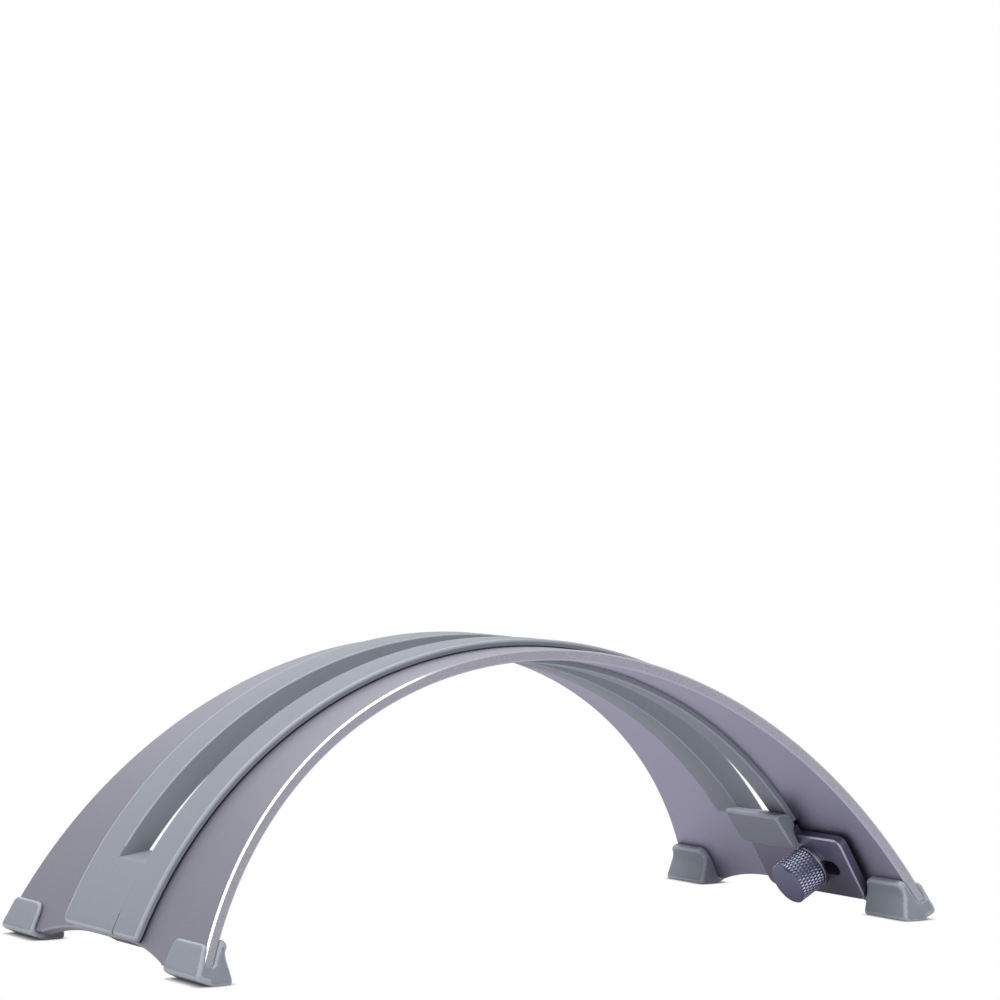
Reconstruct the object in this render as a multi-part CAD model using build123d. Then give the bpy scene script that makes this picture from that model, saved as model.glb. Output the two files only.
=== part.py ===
from build123d import *
import os
from math import cos, radians, sin, sqrt, tan

# Vertical laptop stand: two sliding halves of a bent sheet arch with silicone liners.
# X runs along the span, Y across the slot, Z up from the desk; the origin is on the desk.
# Lengths are in millimetres, angles in degrees from the top of the arch.

# Arch sheet
arch_radius = 120.0
sheet = 3.0
leg_end_height = 2.9
leg_angle = 67.5
waist_half_width = 36.0
leg_half_width = 59.5
edge_chamfer = 0.6
leg_corner = 3.0
leg_notch_half = 37.0
leg_notch_arc = 24.5
leg_notch_depth = 4.1

# Slot and sliding lap between the halves
slot_near = -8.7
slot_far = 7.5
slot_angle = 56.2
travel = 10.0
lining = 1.8
lap_near = -13.5
lap_far = -0.5
lap_clearance = 0.3
lap_angle_step = 1.2

# Silicone liners
liner_thick = 2.1
liner_far = 22.0
liner_near = -22.3
liner_angle = 65.6
liner_corner = 2.4
liner_small_corner = 1.2
liner_bevel = 0.6
lip_thick = 1.6
lip_far = 20.0
lip_near = -17.5
lip_angle = 54.6
end_wall = 1.8
ledge_tilt = 8.0
skirt_gap = 0.4
skirt_depth = 1.2
seam_gap = 0.05
slit_width = 0.35
slit_angle = 62.8

# Clamp brackets, measured in a plane square to the leg
clamp_angle = 60.85
bracket_gap = 1.5
bracket_thick = 2.5
bracket_near = -39.3
bracket_far = 6.3
bracket_height = 19.5
bracket_corner = 2.5
bracket_chamfer = 0.4
tongue_near = -18.5
tongue_far = 5.5
tongue_rise = 2.0
boss_near = -12.9
boss_height = 15.0

# Thumb screws
screw_y = -20.7
stud_size = 4.0
stud_play = 0.05
slot_play = 0.3
stud_bite = 2.1
washer_size = 11.0
washer_thick = 1.0
knob_size = 12.3
knob_length = 8.8
knob_collar = 0.7
knob_collar_step = 0.6
knob_chamfer = 0.4
knob_bore_depth = 6.2

# Screw that holds each bracket
fixing_y = 3.0
fixing_size = 3.0
fixing_head = 5.5
fixing_sink = 0.25
tip_cover = 0.5

# Silicone rests
rest_near = -19.5
rest_far = 6.0
rest_rise = 4.2
rest_reach = 5.8
rest_tip_height = 1.2
rest_leg = 2.6
rest_leg_end = 6.7
rest_hook = 1.1
rest_round = 0.5

# Silicone feet
foot_wall = 1.0
foot_top_angle = 63.9
foot_inner_top_angle = 62.6
foot_toe_angle = 68.1
foot_overhang = 0.2
foot_inner = 40.2
foot_bulge = 2.3
foot_neck = 2.1
foot_neck_angle = 64.05
foot_heel = 6.2
foot_toe = 3.0
foot_round = 0.6
foot_neck_round = 2.5
foot_corner = 3.0
foot_end_corner = 1.5

arch_inner = arch_radius - sheet
axis_height = leg_end_height - arch_radius * cos(radians(leg_angle))
arch_axis = Axis((0, 0, axis_height), (0, 1, 0))
leg_flare = 2 * (leg_half_width - waist_half_width) / radians(leg_angle) / arch_radius
liner_radius = arch_radius + liner_thick
lip_inner = arch_inner - lip_thick
lap_angle = slot_angle + lap_angle_step
lap_middle = arch_radius - sheet / 2
slot_near_edge = slot_near - lining
slot_far_edge = slot_far + lining
bridge_near = slot_near + seam_gap
bracket_back = arch_inner - bracket_gap
bracket_front = bracket_back - bracket_thick
bracket_slot = stud_size + 2 * slot_play
knob_base = bracket_front - washer_thick
# Cutting tools run past the faces they cut by a little, or well clear of the part.
margin = 1.0
margin_angle = 1.0
spare = 20.0


def half_width(angle):
    return waist_half_width + (leg_half_width - waist_half_width) * (angle / leg_angle)**2


# A section in (Y, radius) swept round the arch between two angles
def arched(section, start, end):
    face = Plane((0, 0, axis_height), x_dir=(0, 1, 0), z_dir=(1, 0, 0)) * section
    return revolve(face.rotate(arch_axis, start), arch_axis, end - start)


def band(near, far, inner, outer):
    return Pos((near + far) / 2, (inner + outer) / 2) * Rectangle(far - near, outer - inner)


def both_legs(section, start, end):
    return arched(section, start, end) + arched(section, -end, -start)


# Plane whose X is Y, whose Y climbs the right leg and whose Z is the distance from the axis
def leg_plane(angle):
    tilt = radians(angle)
    return Plane((0, 0, axis_height), x_dir=(0, 1, 0), z_dir=(sin(tilt), 0, cos(tilt)))


def on_arch(radius, angle):
    return (radius * sin(radians(angle)), axis_height + radius * cos(radians(angle)))


# Outline of the waisted arch in one radial plane, with chamfered corners
def edge_section(angle):
    tilt = radians(angle)
    plane = Plane((0, 0, axis_height), x_dir=(0, 1, 0), z_dir=(cos(tilt), 0, -sin(tilt)))
    wide = half_width(angle)
    slim = wide - edge_chamfer - sheet
    below = [(slim, arch_inner - sheet), (wide, arch_inner + edge_chamfer)]
    above = [(wide, arch_radius - edge_chamfer), (slim, arch_radius + sheet)]
    near_side = [(-y, r) for y, r in reversed(below + above)]
    return plane * make_face(Polyline(*below, *above, *near_side, close=True))


# Tool that rounds the two corners of the right leg and cuts the notch between its feet
def leg_end_cut():
    block = Pos(0, -spare / 2) * Rectangle(4 * leg_half_width, 2 * spare)
    reach = leg_half_width + edge_chamfer
    narrow = reach - leg_flare * spare
    leg = make_face(Polyline((-narrow, spare), (-reach, 0), (reach, 0), (narrow, spare), close=True))
    leg = fillet(leg.vertices().sort_by(Axis.Y)[:2], leg_corner)
    flat = leg_notch_half - leg_notch_arc
    below = [(-leg_notch_half, 0), (-leg_notch_half, -spare), (leg_notch_half, -spare), (leg_notch_half, 0)]
    top = Line((flat, leg_notch_depth), (-flat, leg_notch_depth))
    far_arc = TangentArc((flat, leg_notch_depth), (leg_notch_half, 0), tangent=(1, 0))
    near_arc = TangentArc((-flat, leg_notch_depth), (-leg_notch_half, 0), tangent=(-1, 0))
    notch = make_face(Polyline(*below) + far_arc + top + near_arc)
    return extrude(leg_plane(leg_angle).offset(arch_inner - spare) * (block - leg + notch), 2 * spare)


def arch_blank():
    steps = 10
    angles = [(leg_angle + 2) * (2 * k / steps - 1) for k in range(steps + 1)]
    outline = loft([edge_section(a) for a in angles])
    cut = leg_end_cut()
    wide = 2 * leg_half_width
    blank = arched(band(-wide, wide, arch_inner, arch_radius), -leg_angle, leg_angle)
    return (blank & outline) - cut - mirror(cut, Plane.YZ)


def tapped_axis(sketch, start, end):
    return extrude(leg_plane(clamp_angle).offset(start) * sketch, end - start)


# A countersunk screw, or its hole where the cone of the head runs on past the sheet
def fixing(top):
    shank = fixing_size / 2
    head_base = arch_radius - fixing_sink - (fixing_head / 2 - shank)
    tip = bracket_front + tip_cover
    outline = [(0, tip), (shank, tip), (shank, head_base), (shank + top - head_base, top), (0, top)]
    leg = leg_plane(clamp_angle)
    spot = leg.from_local_coords((fixing_y, 0, 0))
    side = Plane(spot, x_dir=(0, 1, 0), z_dir=-leg.y_dir)
    return revolve(side * make_face(Polyline(*outline, close=True)), Axis(spot, leg.z_dir))


def make_far_arch(blank):
    wide = 2 * leg_half_width
    inside, outside = arch_inner - margin, arch_radius + margin
    slot = arched(band(-wide, slot_far_edge, inside, outside), -lap_angle, lap_angle)
    start, end = lap_angle - margin_angle, leg_angle + margin_angle
    past = both_legs(band(-wide, lap_near + lap_clearance, inside, outside), start, end)
    under = lap_middle - lap_clearance / 2
    lap = both_legs(band(-wide, lap_far, under, outside), start, end)
    hole = fixing(outside)
    return blank - slot - past - lap - hole - mirror(hole, Plane.YZ)


def make_near_arch(blank):
    wide = 2 * leg_half_width
    inside, outside = arch_inner - margin, arch_radius + margin
    slot = arched(band(slot_near_edge, wide, inside, outside), -lap_angle, lap_angle)
    start, end = lap_angle - margin_angle, leg_angle + margin_angle
    past = both_legs(band(lap_far - lap_clearance, wide, inside, outside), start, end)
    over = lap_middle + lap_clearance / 2
    lap = both_legs(band(lap_near, wide, inside, over), start, end)
    hole = Pos(screw_y, 0) * Circle(stud_size / 2 + stud_play)
    thread = tapped_axis(hole, inside, arch_inner + stud_bite + slot_play)
    return blank - slot - past - lap - thread - mirror(thread, Plane.YZ)


# Tool that rounds one corner of a liner's two ends, with the liner on the given side of Y
def liner_corner_cut(y, side, radius):
    shift = (radius - margin) / 2
    square = Pos(y + side * shift, shift) * Rectangle(radius + margin, radius + margin)
    quarter = square - Pos(y + side * radius, radius) * Circle(radius)
    right = extrude(leg_plane(liner_angle).offset(arch_inner) * quarter, spare)
    return right + mirror(right, Plane.YZ)


# Cover of a liner from its seam to its bevelled rim, with the underside's outline at the rim
def liner_cover(seam, rim, underside):
    side = 1 if seam > rim else -1
    bevel = [(rim + side * liner_bevel, liner_radius), (rim, liner_radius - liner_bevel)]
    section = make_face(Polyline((seam, arch_radius), (seam, liner_radius), *bevel, *underside, close=True))
    return arched(section, -liner_angle, liner_angle) - liner_corner_cut(seam, -side, liner_small_corner)


# Space above the slot's two ledges, which are almost level
def slot_space():
    rim_x, rim_z = on_arch(liner_radius, slot_angle)
    drop = spare * tan(radians(ledge_tilt))
    right = [(rim_x - spare, rim_z + drop), (rim_x + spare, rim_z - drop), (rim_x + spare, liner_radius)]
    left = [(-x, z) for x, z in reversed(right)]
    outline = make_face(Polyline(*right, *left, close=True))
    return extrude(Plane((0, slot_far, 0), x_dir=(1, 0, 0), z_dir=(0, -1, 0)) * outline, 2 * spare)


def make_far_liner():
    cover = liner_cover(bridge_near, liner_far, [(liner_far, arch_radius)])
    cover = cover - liner_corner_cut(liner_far, -1, liner_corner)
    relief = band(bridge_near - margin, lap_far, arch_radius - margin, arch_radius + lap_clearance)
    slit = band(bridge_near - margin, bridge_near + slit_width, arch_radius - margin, liner_radius + margin)
    cover = cover - both_legs(relief, slot_angle, leg_angle) - both_legs(slit, slit_angle, leg_angle)
    wall_angle = slot_angle + end_wall / radians(1) / arch_radius
    wall = arched(band(bridge_near, slot_far_edge, arch_inner, arch_radius + margin), -wall_angle, wall_angle)
    lip = arched(band(bridge_near, lip_far, lip_inner, arch_inner), -lip_angle, lip_angle)
    return cover + wall + lip - slot_space()


def make_near_liner():
    skirt = [(liner_near, arch_radius + skirt_gap), (liner_near + skirt_depth, arch_radius + skirt_gap)]
    cover = liner_cover(slot_near, liner_near, [*skirt, (liner_near + skirt_depth, arch_radius)])
    cover = cover - liner_corner_cut(liner_near, 1, liner_small_corner)
    wall_angle = slot_angle + lap_angle_step / 2
    wall = arched(band(slot_near_edge, slot_near, arch_inner, arch_radius + margin), -wall_angle, wall_angle)
    lip = arched(band(lip_near, slot_near, lip_inner, arch_inner), -lip_angle, lip_angle)
    return cover + wall + lip


def make_bracket():
    plane = leg_plane(clamp_angle)
    wide = bracket_far - bracket_near
    plate = Pos(bracket_near + wide / 2, 0) * RectangleRounded(wide, bracket_height, bracket_corner)
    top = bracket_height / 2
    tongue = Pos((tongue_near + tongue_far) / 2, top) * Rectangle(tongue_far - tongue_near, 2 * tongue_rise)
    length = travel + 2 * slot_play
    slot = Pos(screw_y - length / 2 + slot_play, 0) * SlotCenterToCenter(length, bracket_slot)
    blank = extrude(plane.offset(bracket_front) * (plate + tongue), bracket_thick)
    front = blank.faces().sort_by(Axis((0, 0, axis_height), plane.z_dir))[0]
    blank = chamfer(front.edges(), bracket_chamfer)
    blank = blank - extrude(plane.offset(bracket_front - margin) * slot, bracket_thick + 2 * margin)
    pad = Pos((boss_near + bracket_far) / 2, 0) * Rectangle(bracket_far - boss_near, boss_height)
    boss = extrude(plane.offset(bracket_back) * pad, sheet)
    below = band(boss_near - margin, bracket_far + margin, arch_inner / 2, arch_inner)
    spread = boss_height / radians(1) / arch_inner
    seat = boss & arched(below, clamp_angle - spread, clamp_angle + spread)
    return blank + seat - fixing(arch_radius)


def leg_point(x, z):
    tilt = radians(clamp_angle)
    height = z - axis_height
    return (height * sin(tilt) - x * cos(tilt), x * sin(tilt) + height * cos(tilt))


# Rest: a bar with a level top that hooks over the bracket's tongue and lies on its front
def make_rest():
    tongue_top = bracket_height / 2 + tongue_rise
    edge = leg_plane(clamp_angle).from_local_coords((0, tongue_top, bracket_front))
    top = edge.Z + rest_rise
    tip = edge.X - rest_reach
    back = sqrt((lip_inner - lap_clearance)**2 - (top - axis_height)**2)
    hook = bracket_back - rest_hook
    head = [leg_point(tip, top - rest_tip_height), leg_point(tip, top), leg_point(back, top)]
    hooked = [(tongue_top + rest_round, hook), (tongue_top, hook - rest_round), (tongue_top, bracket_front)]
    leg = [(rest_leg_end, bracket_front), (rest_leg_end, bracket_front - rest_leg)]
    profile = make_face(Polyline(*head, *hooked, *leg, close=True))
    clear = [v for v in profile.vertices() if abs(v.Y - bracket_front) > 0.01]
    profile = fillet([v for v in clear if abs(v.X - tongue_top) > 0.01], rest_round)
    side = Plane((0, rest_near, axis_height), x_dir=leg_plane(clamp_angle).y_dir, z_dir=(0, 1, 0))
    return extrude(side * profile, rest_far - rest_near)


def make_washer():
    ring = Circle(washer_size / 2) - Circle(stud_size / 2 + slot_play)
    return tapped_axis(Pos(screw_y, 0) * ring, knob_base, bracket_front)


def make_knob():
    spot = Pos(screw_y, 0)
    end = knob_base - knob_length
    body = tapped_axis(spot * Circle(knob_size / 2), end, knob_base - knob_collar)
    face = body.faces().sort_by(Axis((0, 0, axis_height), leg_plane(clamp_angle).z_dir))[0]
    body = chamfer(face.edges(), knob_chamfer)
    collar = tapped_axis(spot * Circle(knob_size / 2 - knob_collar_step), knob_base - knob_collar, knob_base)
    bore = tapped_axis(spot * Circle(stud_size / 2), knob_base - knob_bore_depth, knob_base + margin)
    return body + collar - bore


def make_stud():
    shank = Pos(screw_y, 0) * Circle(stud_size / 2)
    return tapped_axis(shank, knob_base - knob_bore_depth, arch_inner + stud_bite)


# One wall of the near foot seen square to the leg, up to its rounded top corners
def foot_wall_plan(top):
    near = leg_half_width + foot_overhang
    narrow = near - leg_flare * top
    corners = [(-foot_inner, top), (-foot_inner, -spare), (-near, -spare), (-near, 0), (-narrow, top)]
    plan = make_face(Polyline(*corners, close=True))
    plan = fillet(plan.vertices().sort_by_distance((-foot_inner, top))[:1], foot_corner)
    return fillet(plan.vertices().sort_by_distance((-narrow, top))[:1], foot_end_corner)


# Foot: a boot round the corner of the leg, its outline drawn in X and Z
def make_foot():
    wall = arch_radius + foot_wall
    heel = (on_arch(arch_inner, leg_angle)[0] - foot_heel, 0)
    tread_out = (on_arch(arch_radius, leg_angle)[0] - foot_toe, 0)
    toe = on_arch(wall, foot_toe_angle)
    outer_top = on_arch(wall, foot_top_angle)
    inner_top = on_arch(arch_inner, foot_inner_top_angle)
    crest = on_arch(arch_inner - foot_bulge, foot_inner_top_angle)
    neck = on_arch(arch_inner - foot_neck, foot_neck_angle)
    profile = make_face(Polyline(heel, tread_out, toe, outer_top, inner_top, crest, neck, close=True))
    profile = fillet(profile.vertices().sort_by_distance(neck)[:1], foot_neck_round)
    for corner in (heel, toe, outer_top, crest):
        profile = fillet(profile.vertices().sort_by_distance(corner)[:1], foot_round)
    leg = leg_plane(leg_angle)
    outer_plan = foot_wall_plan(wall * sin(radians(leg_angle - foot_top_angle)))
    inner_plan = foot_wall_plan(arch_inner * sin(radians(leg_angle - foot_inner_top_angle)))
    plans = extrude(leg.offset(lap_middle) * outer_plan, spare)
    plans = plans + extrude(leg.offset(lap_middle - spare) * inner_plan, spare)
    boot = extrude(Plane.XZ * profile, 2 * leg_half_width) & plans
    pocket = band(-2 * leg_half_width, 0, arch_inner, arch_radius)
    return boot - arched(pocket, clamp_angle, leg_angle)


def write(name, part):
    part.label = name
    export_step(part, f"parts/{name}.step")


def write_pair(name, part):
    write(f"right_{name}", part)
    write(f"left_{name}", mirror(part, Plane.YZ))


os.makedirs("parts", exist_ok=True)
blank = arch_blank()
far_arch = make_far_arch(blank)
near_arch = make_near_arch(blank)
near_foot = make_foot()
far_foot = mirror(near_foot, Plane.XZ)
write("far_arch", far_arch)
write("near_arch", near_arch)
write("far_liner", make_far_liner())
write("near_liner", make_near_liner())
write_pair("bracket", make_bracket())
write_pair("rest", make_rest())
write_pair("washer", make_washer())
write_pair("knob", make_knob())
write_pair("stud", make_stud())
write_pair("bracket_screw", fixing(arch_radius - fixing_sink))
write("near_right_foot", near_foot)
write("near_left_foot", mirror(near_foot, Plane.YZ))
write("far_right_foot", far_foot)
write("far_left_foot", mirror(far_foot, Plane.YZ))
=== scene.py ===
import bmesh
import bpy
from math import asin, atan, atan2, cos, degrees, hypot, pi, radians, sin, tan
from mathutils import Matrix, Vector


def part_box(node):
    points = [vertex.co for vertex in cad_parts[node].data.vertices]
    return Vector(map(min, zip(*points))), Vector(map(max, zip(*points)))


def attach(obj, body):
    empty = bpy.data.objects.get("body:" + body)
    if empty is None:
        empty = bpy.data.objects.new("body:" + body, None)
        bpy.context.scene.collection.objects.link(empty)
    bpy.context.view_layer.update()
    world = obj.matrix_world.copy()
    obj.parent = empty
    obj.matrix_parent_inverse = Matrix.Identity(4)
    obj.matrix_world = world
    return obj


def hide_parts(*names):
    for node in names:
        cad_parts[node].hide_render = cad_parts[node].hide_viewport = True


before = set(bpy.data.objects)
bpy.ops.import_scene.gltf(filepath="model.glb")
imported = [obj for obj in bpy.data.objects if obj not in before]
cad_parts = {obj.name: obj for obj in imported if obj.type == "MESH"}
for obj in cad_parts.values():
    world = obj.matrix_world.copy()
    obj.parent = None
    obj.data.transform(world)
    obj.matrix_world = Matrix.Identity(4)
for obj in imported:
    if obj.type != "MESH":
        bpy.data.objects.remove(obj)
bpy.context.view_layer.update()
mm = 0.001
weld = 0.002 * mm  # corners closer than this are merged
hair = 0.01 * mm  # places closer than this are the same place
close = 0.1 * mm  # how far off a face or an edge may be when it is looked up by its place
print("frame loaded")

# The sheet is bent round an axis along Y: angles run from the top of the arch, radii from that axis.
arch = {
    "radius": 120 * mm, "sheet": 3 * mm, "legAngle": 67.5, "lapAngle": 57.4, "clampAngle": 60.85,
    "waist": 36 * mm, "leg": 59.5 * mm, "chamfer": 0.45 * mm, "corner": 3 * mm, "steps": 108,
    "notchHalf": 37 * mm, "notchArc": 24.5 * mm, "notchDepth": 3.7 * mm, "notchChamfer": 0.5 * mm,
}
archInner = arch["radius"] - arch["sheet"]
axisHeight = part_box("near_arch")[1].z - arch["radius"]


def archPoint(y, radius, angle):
    return Vector((radius * sin(radians(angle)), y, axisHeight + radius * cos(radians(angle))))


def radiusOf(point):
    return hypot(point.x, point.z - axisHeight)


def angleOf(point):
    return degrees(atan2(point.x, point.z - axisHeight))


# Modelling helpers
def spun(section, start, *stops):
    bm = bmesh.new()
    face = bm.faces.new([bm.verts.new(archPoint(y, r, start)) for y, r in section])
    last = [face] + list(face.edges) + list(face.verts)
    for end, steps in stops:
        grown = bmesh.ops.spin(bm, geom=last, cent=(0, 0, axisHeight), axis=(0, 1, 0),
                               angle=radians(end - start), steps=steps)
        last = grown["geom_last"]
        start = end
    bmesh.ops.recalc_face_normals(bm, faces=bm.faces)
    return bm


def extruded(bm, faces):
    grown = bmesh.ops.extrude_face_region(bm, geom=faces)
    return [v for v in grown["geom"] if isinstance(v, bmesh.types.BMVert)]


# Extruding leaves the old faces inside, so they are taken out.
def pull(bm, faces, place):
    for vert in extruded(bm, faces):
        vert.co = place(vert.co)
    bmesh.ops.delete(bm, geom=faces, context="FACES")
    bmesh.ops.recalc_face_normals(bm, faces=bm.faces)


def soften(bm, edges, width, steps=4, finish=0, clamp=True):
    made = bmesh.ops.bevel(bm, geom=edges, offset=width, offset_type="OFFSET", segments=steps,
                           profile=0.5, affect="EDGES", clamp_overlap=clamp, material=-1)
    for face in made["faces"]:
        face.material_index = finish
    return made["faces"]


def sharpEdges(bm, angle=40):
    return [e for e in bm.edges if len(e.link_faces) == 2 and e.calc_face_angle() > radians(angle)]


def lathe(profile, steps=48):
    bm = bmesh.new()
    verts = [bm.verts.new((r, 0, h)) for r, h in profile]
    edges = [bm.edges.new(pair) for pair in zip(verts, verts[1:])]
    bmesh.ops.spin(bm, geom=verts + edges, cent=(0, 0, 0), axis=(0, 0, 1), angle=2 * pi,
                   steps=steps, use_merge=True)
    bmesh.ops.remove_doubles(bm, verts=bm.verts, dist=weld)
    bmesh.ops.recalc_face_normals(bm, faces=bm.faces)
    return bm


# A leg's own axes: Y as it is, up the leg, and outwards from the arch's axis.
def legFrame(side, angle, y=0):
    tilt = radians(angle)
    up = Vector((-side * cos(tilt), 0, sin(tilt)))
    out = Vector((side * sin(tilt), 0, cos(tilt)))
    across = up.cross(out)
    turn = Matrix((across, up, out)).transposed().to_4x4()
    return Matrix.Translation((0, y, axisHeight)) @ turn


# An outline in a leg's axes, extruded outwards and slanted up the leg if asked
def legPrism(outline, side, low, high, slant=0, finish=1):
    bm = bmesh.new()
    face = bm.faces.new([bm.verts.new((side * y, up, low)) for y, up in outline])
    face.material_index = finish
    bmesh.ops.translate(bm, vec=(0, slant, high - low), verts=extruded(bm, [face]))
    bmesh.ops.recalc_face_normals(bm, faces=bm.faces)
    bmesh.ops.transform(bm, matrix=legFrame(side, arch["legAngle"]), verts=bm.verts)
    return bm


def arc(center, radius, start, end, steps=10):
    turns = [radians(start + (end - start) * k / steps) for k in range(steps + 1)]
    return [(center[0] + radius * cos(t), center[1] + radius * sin(t)) for t in turns]


def addObject(name, bm):
    mesh = bpy.data.meshes.new(name)
    bm.to_mesh(mesh)
    bm.free()
    thing = bpy.data.objects.new(name, mesh)
    bpy.context.scene.collection.objects.link(thing)
    return thing


# Cuts the tools out, then clears slivers and flat splits, over which a later bevel would fold.
def carve(bm, tools):
    body = addObject("carved", bm)
    cutters = [addObject("cutter", tool) for tool in tools]
    for cutter in cutters:
        cut = body.modifiers.new("cut", "BOOLEAN")
        cut.operation = "DIFFERENCE"
        cut.solver = "EXACT"
        cut.object = cutter
    bpy.context.view_layer.update()
    result = bmesh.new()
    result.from_object(body, bpy.context.evaluated_depsgraph_get())
    for item in cutters + [body]:
        bpy.data.objects.remove(item)
    flat = radians(0.2)
    bmesh.ops.remove_doubles(result, verts=result.verts, dist=weld)
    bmesh.ops.dissolve_degenerate(result, dist=weld, edges=result.edges)
    bmesh.ops.dissolve_limit(result, angle_limit=flat, verts=result.verts, edges=result.edges,
                             delimit={"MATERIAL"})
    return result


def makePiece(name, bm, materials, body, node, smoothAngle=35):
    piece = addObject(name, bm)
    for material in materials:
        piece.data.materials.append(material)
    piece.data.polygons.foreach_set("use_smooth", [True] * len(piece.data.polygons))
    piece.data.set_sharp_from_angle(angle=radians(smoothAngle))
    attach(piece, body)
    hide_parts(node)


# Materials
def linear(code):
    parts = [int(code[i:i + 2], 16) / 255 for i in (0, 2, 4)]
    return [c / 12.92 if c <= 0.04045 else ((c + 0.055) / 1.055) ** 2.4 for c in parts] + [1]


def addNode(tree, kind, inputs={}, **settings):
    node = tree.nodes.new(kind)
    for name, value in settings.items():
        setattr(node, name, value)
    for key, value in inputs.items():
        if isinstance(value, bpy.types.NodeSocket):
            tree.links.new(value, node.inputs[key])
        else:
            node.inputs[key].default_value = value
    return node


# A grained surface: two shades and a fine relief follow the same noise, whose grain has a real size.
def grained(name, dark, light, grainSize, relief, **finish):
    material = bpy.data.materials.new(name)
    material.use_nodes = True
    tree = material.node_tree
    tree.nodes.clear()
    place = addNode(tree, "ShaderNodeTexCoord")
    noise = addNode(tree, "ShaderNodeTexNoise", {
        "Vector": place.outputs["Object"], "Scale": 1 / grainSize, "Detail": 2.0})
    shade = addNode(tree, "ShaderNodeMix", {
        0: noise.outputs["Fac"], 6: linear(dark), 7: linear(light)}, data_type="RGBA")
    bump = addNode(tree, "ShaderNodeBump", {"Distance": relief, "Height": noise.outputs["Fac"]})
    shader = addNode(tree, "ShaderNodeBsdfPrincipled", {
        "Base Color": shade.outputs[2], "Normal": bump.outputs["Normal"], **finish})
    addNode(tree, "ShaderNodeOutputMaterial", {"Surface": shader.outputs["BSDF"]})
    return material


# Bead-blasted and anodised sheet: an even satin grey with a lilac cast and a very fine grain.
anodised = grained("aluminium_bead_blasted_anodised", "82828e", "888894", 0.15 * mm, 0.0006 * mm,
                   Metallic=1.0, Roughness=0.5)
# The same finish on the inner face, in a lighter lilac tone: a painted reflection of the lit floor that
# this face looks down on.
innerFaceReflection = grained("aluminium_anodised_inner_face_painted_reflection", "9a99ab", "a09fb1", 0.15 * mm, 0.0006 * mm,
                    Metallic=1.0, Roughness=0.5)
# The milled edge is blasted more coarsely: single facets glitter, drawn large enough to show.
blasted = grained("aluminium_blasted_edge", "74747f", "bebec8", 0.3 * mm, 0.03 * mm,
                  Metallic=1.0, Roughness=0.4)
# Diamond-cut chamfers are left bright and show as a white line where they mirror a lamp.
polished = grained("aluminium_diamond_cut", "b2b2bc", "bcbcc6", 0.5 * mm, 0.0002 * mm,
                   Metallic=1.0, Roughness=0.15)
# Moulded silicone is an even, matt blue-grey.
silicone = grained("silicone_moulded_matt", "7c818b", "80858f", 0.2 * mm, 0.002 * mm, Roughness=0.6)
# The rolled edges are painted paler: a painted highlight where the rounded silicone catches the light.
rolled = grained("silicone_painted_edge_highlight", "979ca6", "9ba1aa", 0.2 * mm, 0.002 * mm, Roughness=0.5)
# The brackets have the same anodising on thinner, darker plate.
plate = grained("aluminium_plate_anodised", "757285", "7b788b", 0.15 * mm, 0.0006 * mm,
                Metallic=1.0, Roughness=0.45)
# Chamfers that are cut after anodising stay paler.
plateEdge = grained("aluminium_plate_chamfer", "a9a6b8", "b2afc0", 0.3 * mm, 0.0004 * mm,
                    Metallic=1.0, Roughness=0.3)
# Turned and anodised: a smooth, darker blue-grey end face.
turned = grained("aluminium_turned_anodised", "686b85", "6d708a", 0.3 * mm, 0.0005 * mm,
                 Metallic=1.0, Roughness=0.3)
# Rolling the knurl leaves bare metal on its crests; the whole knurled band is also painted paler, as
# painted glints where the crests catch the light.
knurlGlints = grained("aluminium_rolled_knurl_painted_glints", "9a9db0", "a6a9bb", 0.3 * mm, 0.0005 * mm,
                      Metallic=1.0, Roughness=0.28)
# Zinc plating is paler and a little glossy.
steel = grained("steel_zinc_plated", "a9aaad", "b4b5b8", 0.2 * mm, 0.0005 * mm,
                Metallic=1.0, Roughness=0.3)
print("materials made")


# Halves of the arch: one waisted band with chamfered edges, cut into two that lap at the leg ends
lap = {
    "slotNear": -10.5 * mm, "slotFar": 9.3 * mm, "near": -13.5 * mm, "far": -0.5 * mm, "play": 0.3 * mm,
    "early": 1, "past": 1, "stepPast": 1.3,
}
thumbScrew = {"y": -20.7 * mm, "hole": 2.05 * mm, "holeEnd": 119.4 * mm}
bracketScrew = {"y": 3 * mm, "shank": 1.5 * mm, "head": 2.75 * mm, "sink": 0.25 * mm}
farAway = 80 * mm  # cutters end this far out
below, above = archInner - 2 * mm, arch["radius"] + 2 * mm  # clear of the sheet on both sides


def halfWidth(angle):
    return arch["waist"] + (arch["leg"] - arch["waist"]) * (angle / arch["legAngle"]) ** 2


def archBand():
    wide, inner, outer = arch["waist"], archInner, arch["radius"]
    end = arch["legAngle"]
    bm = spun([(-wide, inner), (-wide, outer), (wide, outer), (wide, inner)], -end, (end, arch["steps"]))
    for vert in bm.verts:
        vert.co.y *= halfWidth(angleOf(vert.co)) / wide
    middle = (inner + outer) / 2
    # inner faces get the lighter inner-face material, whose tone is a painted reflection of the floor
    for face in bm.faces:
        onEdge = abs(face.normal.y) > 0.7
        face.material_index = 1 if onEdge else 0 if radiusOf(face.calc_center_median()) > middle else 3
    # edges that run along the bend
    rims = [e for e in bm.edges if abs(angleOf(e.verts[0].co) - angleOf(e.verts[1].co)) > 0.1]
    for face in soften(bm, rims, arch["chamfer"], 1):
        face.material_index = 2 if radiusOf(face.calc_center_median()) > middle else 4
    return bm


def notchOutline():
    half, run, depth = arch["notchHalf"], arch["notchArc"], arch["notchDepth"]
    bend = (run ** 2 + depth ** 2) / (2 * depth)
    right = arc((half - run, depth - bend), bend, 90, 90 - degrees(asin(run / bend)))
    left = [(-y, up) for y, up in reversed(right)]
    return left + right + [(half, -farAway), (-half, -farAway)]


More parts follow.
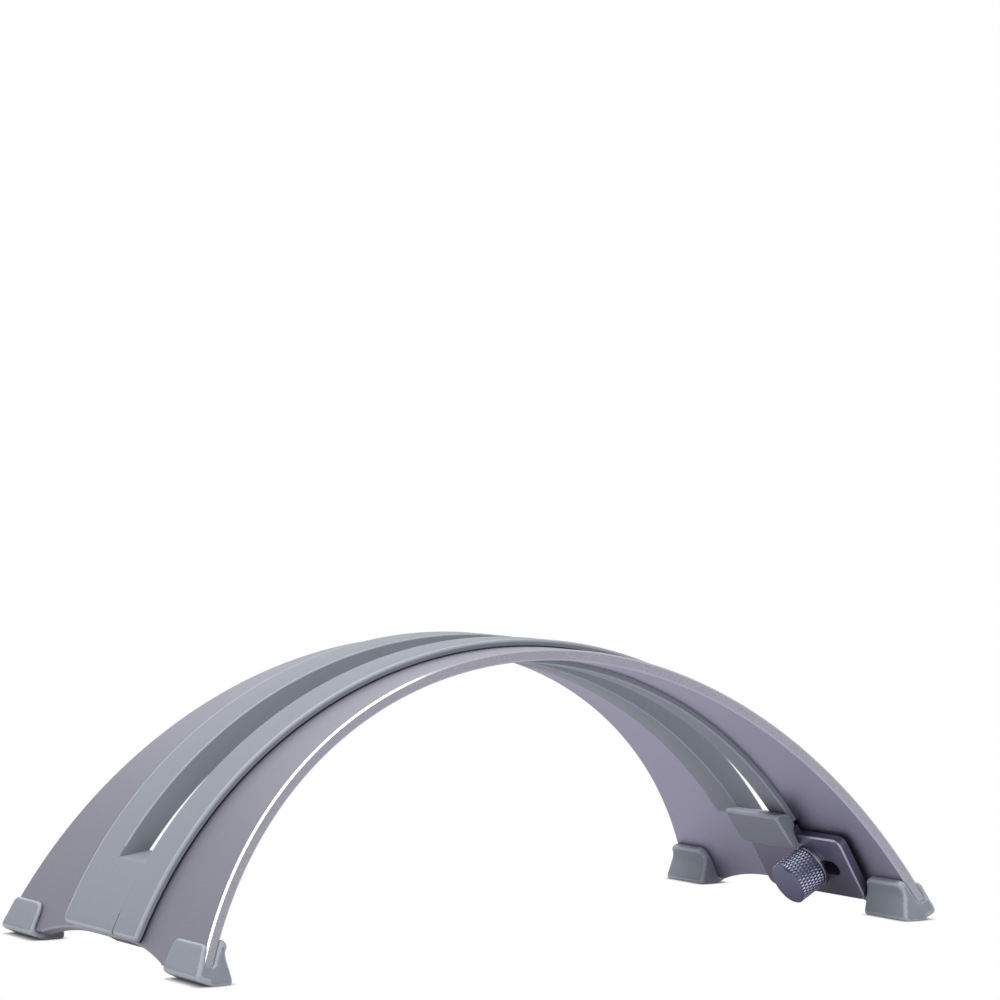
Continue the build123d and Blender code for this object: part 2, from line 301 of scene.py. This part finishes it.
def cornerBow():
    flare = degrees(atan(2 * (arch["leg"] - arch["waist"]) / radians(arch["legAngle"]) / arch["radius"]))
    back = arch["corner"] / tan(radians(45 - flare / 2))
    return arc((arch["leg"] - back, arch["corner"]), arch["corner"], -90, flare, 8)


def cornerOutline(edge):
    bow = cornerBow()
    outline = [(bow[0][0], -farAway), *bow, (farAway, bow[-1][1]), (farAway, -farAway)]
    return [(edge * y, up) for y, up in outline]


# The notch's chamfer is cut by a slanted prism, the notch and the corners by upright ones.
def legCuts():
    outlines = [notchOutline(), cornerOutline(-1), cornerOutline(1)]
    start, tall = arch["radius"] - arch["notchChamfer"], 8 * mm
    low, high = archInner - tall, arch["radius"] + tall
    cuts = [legPrism(notchOutline(), side, start, start + tall, tall, 4) for side in (-1, 1)]
    return cuts + [legPrism(o, side, low, high) for o in outlines for side in (-1, 1)]


# A cutter along the bend, with about one facet to a degree
def ringCut(near, far, inner, outer, start, end):
    steps = max(4, round(abs(end - start)))
    return spun([(near, inner), (near, outer), (far, outer), (far, inner)], start, (end, steps))


# Two cutters on one leg run past its end by different angles, so that their facets don't coincide.
def bothLegs(near, far, inner, outer, past=lap["past"]):
    start, end = arch["lapAngle"] - lap["early"], arch["legAngle"] + past
    return [ringCut(near, far, inner, outer, s * start, s * end) for s in (-1, 1)]


def onLeg(bm, side, y):
    bmesh.ops.transform(bm, matrix=legFrame(side, arch["clampAngle"], y), verts=bm.verts)
    return bm


def studHole(side):
    size, top = thumbScrew["hole"], thumbScrew["holeEnd"]
    return onLeg(lathe([(0, below), (size, below), (size, top), (0, top)]), side, thumbScrew["y"])


def screwHole(side):
    shank, head = bracketScrew["shank"], bracketScrew["head"]
    neck = arch["radius"] - bracketScrew["sink"] - (head - shank)
    top = arch["radius"] + 1 * mm
    profile = [(0, below), (shank, below), (shank, neck), (shank + top - neck, top), (0, top)]
    return onLeg(lathe(profile), side, bracketScrew["y"])


lapMiddle = (archInner + arch["radius"]) / 2
slotEnd = arch["lapAngle"]
nearCuts = legCuts() + [ringCut(lap["slotNear"], farAway, below, above, -slotEnd, slotEnd)]
nearCuts += bothLegs(lap["far"] - lap["play"], farAway, below, above)
nearCuts += bothLegs(lap["near"], farAway, below, lapMiddle + lap["play"] / 2, lap["stepPast"])
nearCuts += [studHole(side) for side in (-1, 1)]
farCuts = legCuts() + [ringCut(-farAway, lap["slotFar"], below, above, -slotEnd, slotEnd)]
farCuts += bothLegs(-farAway, lap["near"] + lap["play"], below, above)
farCuts += bothLegs(-farAway, lap["far"], lapMiddle - lap["play"] / 2, above, lap["stepPast"])
farCuts += [screwHole(side) for side in (-1, 1)]
sheetFinishes = [anodised, blasted, polished, innerFaceReflection, plateEdge]
nearSheet, farSheet = carve(archBand(), nearCuts), carve(archBand(), farCuts)
makePiece("near_arch_sheet", nearSheet, sheetFinishes, "near_half", "near_arch")
makePiece("far_arch_sheet", farSheet, sheetFinishes, "far_half", "far_arch")
print("arch halves made")

# Silicone liners: a cover on the sheet, a wall in the slot and a lip underneath
liner = {
    "top": 122.1 * mm, "lip": 115.4 * mm, "endAngle": 65.6, "lipAngle": 54.6, "slotAngle": 56.2,
    "ledgeTilt": 8, "ledgeRun": 20 * mm, "endSteps": 4, "wallSteps": 2, "runSteps": 92,
    "round": 0.8 * mm, "slotRound": 0.4 * mm, "lipRound": 0.35 * mm, "crest": 0.3 * mm,
    "cornerReach": 0.4 * mm, "seamReach": 0.5 * mm, "seamStop": 0.9, "endReach": 1.3, "highlightStop": 2,
}
nearLiner = {
    "edge": -22.3 * mm, "seam": -8.7 * mm, "wall": -10.5 * mm, "lip": -17.5 * mm, "wallAngle": 56.8,
    "skirtGap": 0.4 * mm, "skirtDepth": 1.2 * mm, "edgeCorner": 1.2 * mm, "seamCorner": 0.4 * mm,
}
farLiner = {
    "edge": 22 * mm, "seam": -8.65 * mm, "wall": 9.3 * mm, "lip": 20 * mm, "wallAngle": 57.06,
    "slot": 7.5 * mm, "relief": -0.5 * mm, "reliefHeight": 0.3 * mm, "slit": 0.35 * mm, "slitAngle": 62.8,
    "edgeCorner": 2.4 * mm, "seamCorner": 0.4 * mm,
}


def linerBody(piece, underside):
    top, outer = liner["top"], arch["radius"]
    seam, wall = piece["seam"], piece["wall"]
    section = [(seam, outer), (seam, top), (piece["edge"], top), *underside, (wall, outer)]
    end, wallAngle, lipAngle = liner["endAngle"], piece["wallAngle"], liner["lipAngle"]
    endSteps, wallSteps, runSteps = liner["endSteps"], liner["wallSteps"], liner["runSteps"]
    bm = spun(section, -end, (-wallAngle, endSteps), (-lipAngle, wallSteps), (lipAngle, runSteps),
              (wallAngle, wallSteps), (end, endSteps))

    def under(radius, limit):
        found = []
        for face in bm.faces:
            middle = face.calc_center_median()
            level = abs(radiusOf(middle) - radius) < close and abs(face.normal.y) < 0.1
            inSlot = min(seam, wall) < middle.y < max(seam, wall) and abs(angleOf(middle)) < limit
            if level and inSlot:
                found.append(face)
        return found

    def onWall(face):
        middle = face.calc_center_median()
        upright = abs(middle.y - wall) < hair and abs(face.normal.y) > 0.7
        return upright and abs(radiusOf(middle) - (archInner + liner["lip"]) / 2) < 2 * close

    pull(bm, under(outer, wallAngle), lambda p: archPoint(p.y, archInner, angleOf(p)))
    pull(bm, under(archInner, lipAngle), lambda p: archPoint(p.y, liner["lip"], angleOf(p)))
    pull(bm, [f for f in bm.faces if onWall(f)], lambda p: Vector((p.x, piece["lip"], p.z)))
    return bm


# Space over the slot's ledges, which are almost level
def slotSpace():
    rim = archPoint(0, liner["top"], liner["slotAngle"])
    run = liner["ledgeRun"]
    drop = run * tan(radians(liner["ledgeTilt"]))
    right = [(rim.x - run, rim.z + drop), (rim.x + run, rim.z - drop), (rim.x + run, 2 * farAway)]
    outline = right + [(-x, z) for x, z in reversed(right)]
    bm = bmesh.new()
    face = bm.faces.new([bm.verts.new((x, farLiner["slot"], z)) for x, z in outline])
    bmesh.ops.translate(bm, vec=(0, -farAway, 0), verts=extruded(bm, [face]))
    bmesh.ops.recalc_face_normals(bm, faces=bm.faces)
    return bm


def edgeSpot(edge):
    middle = (edge.verts[0].co + edge.verts[1].co) / 2
    return middle.y, radiusOf(middle), abs(angleOf(middle))


# Upright edges at the liner's two ends, at its outer edge or at its seam
def cornerEdges(bm, place):
    def atCorner(e):
        y, r, angle = edgeSpot(e)
        atEnd = angle > liner["endAngle"] - 0.05 and r > arch["radius"]
        return atEnd and abs(y - place) < liner["cornerReach"]

    level = [e for e in bm.edges if abs(e.verts[0].co.y - e.verts[1].co.y) < hair]
    return [e for e in level if e.calc_length() > 1 * mm and atCorner(e)]


def roundLiner(bm, piece):
    soften(bm, cornerEdges(bm, piece["edge"]), piece["edgeCorner"], 6)
    # one facet at the seam, where the rounding of the rim has to end cleanly
    soften(bm, cornerEdges(bm, piece["seam"]), piece["seamCorner"], 1)

    def outerRim(e):
        y, r, angle = edgeSpot(e)
        fromEnd = liner["endAngle"] - angle
        alongSeam = abs(y - piece["seam"]) < liner["seamReach"] and fromEnd > liner["seamStop"]
        atRim = fromEnd < liner["endReach"] or abs(y - piece["edge"]) < close
        return r > liner["top"] - close and atRim and not alongSeam

    # the clamp would hold the rounding back to the shortest edge, so it is off
    # the rounded rims take the paler edge material, a painted highlight, except beside the seam
    for face in soften(bm, [e for e in sharpEdges(bm) if outerRim(e)], liner["round"], 4, 1, False):
        if abs(face.calc_center_median().y - piece["seam"]) < liner["round"]:
            face.material_index = 0

    # the lip edges are rounded into the same painted highlight
    lips = [e for e in sharpEdges(bm) if abs(edgeSpot(e)[1] - liner["lip"]) < close / 2]
    soften(bm, lips, liner["lipRound"], 3, 1)

    def slotRim(e):
        y, r, angle = edgeSpot(e)
        inSlot = farLiner["seam"] + close < y < farLiner["slot"] + close
        return inSlot and r > liner["top"] - close and angle < liner["slotAngle"] + 0.1

    # the slot rims carry the painted highlight only up to a little short of the slot's end
    highlightEnd = liner["slotAngle"] - liner["highlightStop"]
    for face in soften(bm, [e for e in sharpEdges(bm) if slotRim(e)], liner["slotRound"]):
        face.material_index = 1 if abs(angleOf(face.calc_center_median())) < highlightEnd else 0
    return bm


# The crest of the far rim is painted as a thin pale line: a painted highlight where it catches the light
# from behind.
def crestHighlight(bm, piece):
    end = piece["edge"] - liner["round"]
    start = end - liner["crest"]
    bmesh.ops.bisect_plane(bm, geom=bm.faces[:] + bm.edges[:] + bm.verts[:],
                           plane_co=(0, start, 0), plane_no=(0, 1, 0))
    for face in bm.faces:
        middle = face.calc_center_median()
        if start < middle.y < end and radiusOf(middle) > liner["top"] - close:
            face.material_index = 1
    return bm


skirtTop = arch["radius"] + nearLiner["skirtGap"]
skirtBack = nearLiner["edge"] + nearLiner["skirtDepth"]
skirt = [(nearLiner["edge"], skirtTop), (skirtBack, skirtTop), (skirtBack, arch["radius"])]
nearSilicone = roundLiner(linerBody(nearLiner, skirt), nearLiner)
# the second finish is the paler edge material, a painted highlight on rounded edges
softFinishes = [silicone, rolled]
makePiece("near_liner_silicone", nearSilicone, softFinishes, "near_half", "near_liner", 50)
reliefTop = arch["radius"] + farLiner["reliefHeight"]
slitBack = farLiner["seam"] + farLiner["slit"]
farCutters = [slotSpace()]
for side in (-1, 1):
    start, end = side * (farLiner["wallAngle"] + 0.05), side * (liner["endAngle"] + 1)
    farCutters.append(ringCut(-farAway, farLiner["relief"], below, reliefTop, start, end))
    farCutters.append(ringCut(-farAway, slitBack, below, above + 2 * mm, side * farLiner["slitAngle"], end))
farSilicone = carve(linerBody(farLiner, [(farLiner["edge"], arch["radius"])]), farCutters)
farSilicone = crestHighlight(roundLiner(farSilicone, farLiner), farLiner)
makePiece("far_liner_silicone", farSilicone, softFinishes, "far_half", "far_liner", 50)
print("liners made")

# Thumb knobs: a diamond knurl between a chamfered end and a plain collar on the washer
knob = {
    "radius": 6.25 * mm, "base": 112 * mm, "length": 9.1 * mm, "collar": 0.7 * mm, "collarStep": 0.6 * mm,
    "chamfer": 0.4 * mm, "bore": 2 * mm, "boreDepth": 6.2 * mm,
    "teeth": 40, "rows": 3.4, "depth": 0.28 * mm, "flank": 1.5, "fineness": 10, "rings": 60,
}


# Two sets of crossing grooves: 0 on a crest, 1 at the bottom of a groove
def knurlDip(turn, along):
    first = abs(((turn * knob["teeth"] + along * knob["rows"]) % 1) * 2 - 1)
    second = abs(((turn * knob["teeth"] - along * knob["rows"]) % 1) * 2 - 1)
    return 1 - min(1, knob["flank"] * min(first, second))


def knobBody():
    size, base = knob["radius"], knob["base"]
    end, shoulder = base - knob["length"], base - knob["collar"]
    start = end + knob["chamfer"]
    run = shoulder - start
    neck = size - knob["collarStep"]
    bore, boreEnd = knob["bore"], base - knob["boreDepth"]
    rim = [(size, start + run * k / knob["rings"]) for k in range(knob["rings"] + 1)]
    outside = [(0, end), (size - knob["chamfer"], end), *rim, (neck, shoulder), (neck, base)]
    inside = [(bore, base), (bore, boreEnd), (0, boreEnd)]
    bm = lathe(outside + inside, knob["teeth"] * knob["fineness"])
    for vert in bm.verts:
        spot = vert.co
        if hypot(spot.x, spot.y) > size - hair and spot.z > start + hair:
            turn = atan2(spot.y, spot.x) / (2 * pi)
            shrink = 1 - knob["depth"] * knurlDip(turn, (spot.z - start) / run) / size
            vert.co = Vector((spot.x * shrink, spot.y * shrink, spot.z))
    # the knurled band takes the paler material with painted glints
    for face in bm.faces:
        middle = face.calc_center_median()
        onKnurl = hypot(middle.x, middle.y) > neck and start < middle.z < shoulder
        face.material_index = 1 if onKnurl else 0
    return bm


# A plain washer shows as a pale ring under the knob.
washer = {"radius": 6.2 * mm, "bore": 2.2 * mm, "thick": 1 * mm, "edge": 0.15 * mm}


def washerBody():
    size, bore, edge = washer["radius"], washer["bore"], washer["edge"]
    low, high = knob["base"], knob["base"] + washer["thick"]
    rim = [(size - edge, low), (size, low + edge), (size, high - edge), (size - edge, high)]
    return lathe([(bore, low), *rim, (bore, high), (bore, low)])


for side, word in ((-1, "left"), (1, "right")):
    ring = onLeg(washerBody(), side, thumbScrew["y"])
    makePiece(word + "_washer_turned", ring, [steel], word + "_clamp_washer", word + "_washer", 30)
    knurled = onLeg(knobBody(), side, thumbScrew["y"])
    makePiece(word + "_knob_knurled", knurled, [turned, knurlGlints], word + "_thumb_screw", word + "_knob",
              30)
print("knobs and washers made")

# Feet and rests: moulded silicone has no sharp edge, so each solid is remeshed finely and relaxed
moulded = {
    "grain": 0.3 * mm, "footPasses": 32, "footSwell": 0.25 * mm, "restPasses": 26, "restSwell": 0.1 * mm,
    "rim": 0.1 * mm, "overlap": 0.4 * mm,
}


def mergedCopy(node):
    bm = bmesh.new()
    bm.from_mesh(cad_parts[node].data)
    bmesh.ops.remove_doubles(bm, verts=bm.verts, dist=weld)
    return bm


# The boot closes round the sheet's rounded corner.
def cornerFill(edge, side):
    bow, over = cornerBow(), moulded["overlap"]
    outline = [(edge * y, up) for y, up in [*bow, (arch["leg"], -over), (bow[0][0], -over)]]
    return legPrism(outline, side, archInner - over, arch["radius"] + over)


def joined(parts):
    whole = bmesh.new()
    for part in parts:
        mesh = bpy.data.meshes.new("part")
        part.to_mesh(mesh)
        part.free()
        whole.from_mesh(mesh)
        bpy.data.meshes.remove(mesh)
    return whole


# Smoothing draws the edges in. Drawn-in rim faces get the paler edge material, a painted highlight, and a
# swell along the normals gives the size back.
def relaxed(bm, passes, swell):
    body = addObject("moulded", bm)
    fine = body.modifiers.new("fine", "REMESH")
    fine.mode = "VOXEL"
    fine.voxel_size = moulded["grain"]
    bpy.context.view_layer.update()
    soft = bmesh.new()
    soft.from_object(body, bpy.context.evaluated_depsgraph_get())
    bpy.data.objects.remove(body)
    sharp = [v.co.copy() for v in soft.verts]
    for _ in range(passes):
        bmesh.ops.smooth_vert(soft, verts=soft.verts, factor=0.5,
                              use_axis_x=True, use_axis_y=True, use_axis_z=True)
    soft.normal_update()
    drawnIn = [(old - v.co).dot(v.normal) for old, v in zip(sharp, soft.verts)]
    for vert in soft.verts:
        vert.co += vert.normal * swell
        vert.co.z = max(vert.co.z, 0)
    soft.verts.index_update()
    # rim faces take the paler edge material: a painted highlight
    for face in soft.faces:
        highlightedRim = min(drawnIn[v.index] for v in face.verts) > moulded["rim"]
        face.material_index = 1 if highlightedRim else 0
    return soft


for half, edge in (("near", -1), ("far", 1)):
    for word, side in (("left", -1), ("right", 1)):
        foot = half + "_" + word + "_foot"
        boot = joined([mergedCopy(foot), cornerFill(edge, side)])
        boot = relaxed(boot, moulded["footPasses"], moulded["footSwell"])
        makePiece(foot + "_silicone", boot, softFinishes, half + "_half", foot, 180)
for word in ("left", "right"):
    rest = relaxed(mergedCopy(word + "_rest"), moulded["restPasses"], moulded["restSwell"])
    makePiece(word + "_rest_silicone", rest, softFinishes, "far_half", word + "_rest", 180)
print("feet and rests made")


# Brackets, studs and bracket screws stay as CAD nodes and take the better materials.
def paint(node, *materials):
    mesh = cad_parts[node].data
    mesh.materials.clear()
    for material in materials:
        mesh.materials.append(material)
    return mesh


for side, word in ((-1, "left"), (1, "right")):
    paint(word + "_stud", steel)
    paint(word + "_bracket_screw", steel)
    bracket = paint(word + "_bracket", plate, plateEdge)
    out = legFrame(side, arch["clampAngle"]).to_3x3().col[2]
    for face in bracket.polygons:
        onChamfer = -0.8 < face.normal.dot(out) < -0.6  # leaning about 45 degrees
        face.material_index = 1 if onChamfer else 0
print("nodes painted")

# Pale floor: seen directly or mirrored it is white and keeps the shadow where the feet stand.
studio = {
    "floor": 6, "paper": "f3f3f5", "shadow": 2 * mm, "mirroredShadow": 25 * mm, "mirroredTint": "fcf8ff",
    "glow": 0.43,
}
floorMaterial = bpy.data.materials.new("paper_matt_white")
floorMaterial.use_nodes = True
floorTree = floorMaterial.node_tree
floorTree.nodes.clear()
paper = addNode(floorTree, "ShaderNodeBsdfDiffuse", {"Color": linear(studio["paper"])})
floorPath = addNode(floorTree, "ShaderNodeLightPath")
mirrored = floorPath.outputs["Is Glossy Ray"]
reach = addNode(floorTree, "ShaderNodeMapRange", {
    "Value": mirrored, "To Min": studio["shadow"], "To Max": studio["mirroredShadow"]})
tint = addNode(floorTree, "ShaderNodeMix", {
    0: mirrored, 6: linear("ffffff"), 7: linear(studio["mirroredTint"])}, data_type="RGBA")
shadow = addNode(floorTree, "ShaderNodeAmbientOcclusion", {
    "Color": tint.outputs[2], "Distance": reach.outputs["Result"]}, samples=16)
white = addNode(floorTree, "ShaderNodeEmission", {"Color": shadow.outputs["Color"], "Strength": 1.0})
floorSeen = addNode(floorTree, "ShaderNodeMath", {
    0: floorPath.outputs["Is Camera Ray"], 1: mirrored}, operation="MAXIMUM")
floorMix = addNode(floorTree, "ShaderNodeMixShader", {
    0: floorSeen.outputs[0], 1: paper.outputs["BSDF"], 2: white.outputs["Emission"]})
addNode(floorTree, "ShaderNodeOutputMaterial", {"Surface": floorMix.outputs["Shader"]})
floorBm = bmesh.new()
bmesh.ops.create_grid(floorBm, x_segments=1, y_segments=1, size=studio["floor"])
floor = addObject("floor", floorBm)
floor.data.materials.append(floorMaterial)

# The world is white where it is seen or mirrored, and lights the object less.
world = bpy.data.worlds.new("studio")
bpy.context.scene.world = world
world.use_nodes = True
worldTree = world.node_tree
worldTree.nodes.clear()
worldPath = addNode(worldTree, "ShaderNodeLightPath")
glow = addNode(worldTree, "ShaderNodeBackground", {"Color": linear("ffffff"), "Strength": studio["glow"]})
plain = addNode(worldTree, "ShaderNodeBackground", {"Color": linear("ffffff"), "Strength": 1.0})
worldSeen = addNode(worldTree, "ShaderNodeMath", {
    0: worldPath.outputs["Is Camera Ray"], 1: worldPath.outputs["Is Glossy Ray"]}, operation="MAXIMUM")
worldMix = addNode(worldTree, "ShaderNodeMixShader", {
    0: worldSeen.outputs[0], 1: glow.outputs["Background"], 2: plain.outputs["Background"]})
addNode(worldTree, "ShaderNodeOutputWorld", {"Surface": worldMix.outputs["Shader"]})


# Place and size in metres, power in watts; each lamp looks at the origin.
def areaLight(name, place, size, power):
    data = bpy.data.lights.new(name, "AREA")
    data.shape = "SQUARE"
    data.size = size
    data.energy = power
    lamp = bpy.data.objects.new(name, data)
    lamp.location = place
    lamp.rotation_mode = "QUATERNION"
    lamp.rotation_quaternion = (-Vector(place)).to_track_quat("-Z", "Y")
    bpy.context.scene.collection.objects.link(lamp)


areaLight("overhead", (-0.35, 0, 1.5), 1.5, 26)
areaLight("fill", (-0.6, -1.3, 0.5), 1.0, 3)
areaLight("back", (0.3, 1.3, 0.9), 1.0, 1.7)
print("stage set")

# Camera where the photograph was taken from
view = {
    "place": (-0.52045, -0.89332, 0.13913), "aim": (0.51058, 0.85953, -0.02268), "roll": -0.497,
    "lens": 137.45, "sensor": 36,
}
cameraData = bpy.data.cameras.new("camera")
cameraData.lens = view["lens"]
cameraData.sensor_width = view["sensor"]
camera = bpy.data.objects.new("camera", cameraData)
camera.location = view["place"]
camera.rotation_mode = "QUATERNION"
look = Vector(view["aim"]).to_track_quat("-Z", "Y")
camera.rotation_quaternion = look @ Matrix.Rotation(radians(view["roll"]), 4, "Z").to_quaternion()
bpy.context.scene.collection.objects.link(camera)
bpy.context.scene.camera = camera
bpy.context.scene.view_settings.view_transform = "Standard"
print("camera set")

bpy.context.view_layer.update()
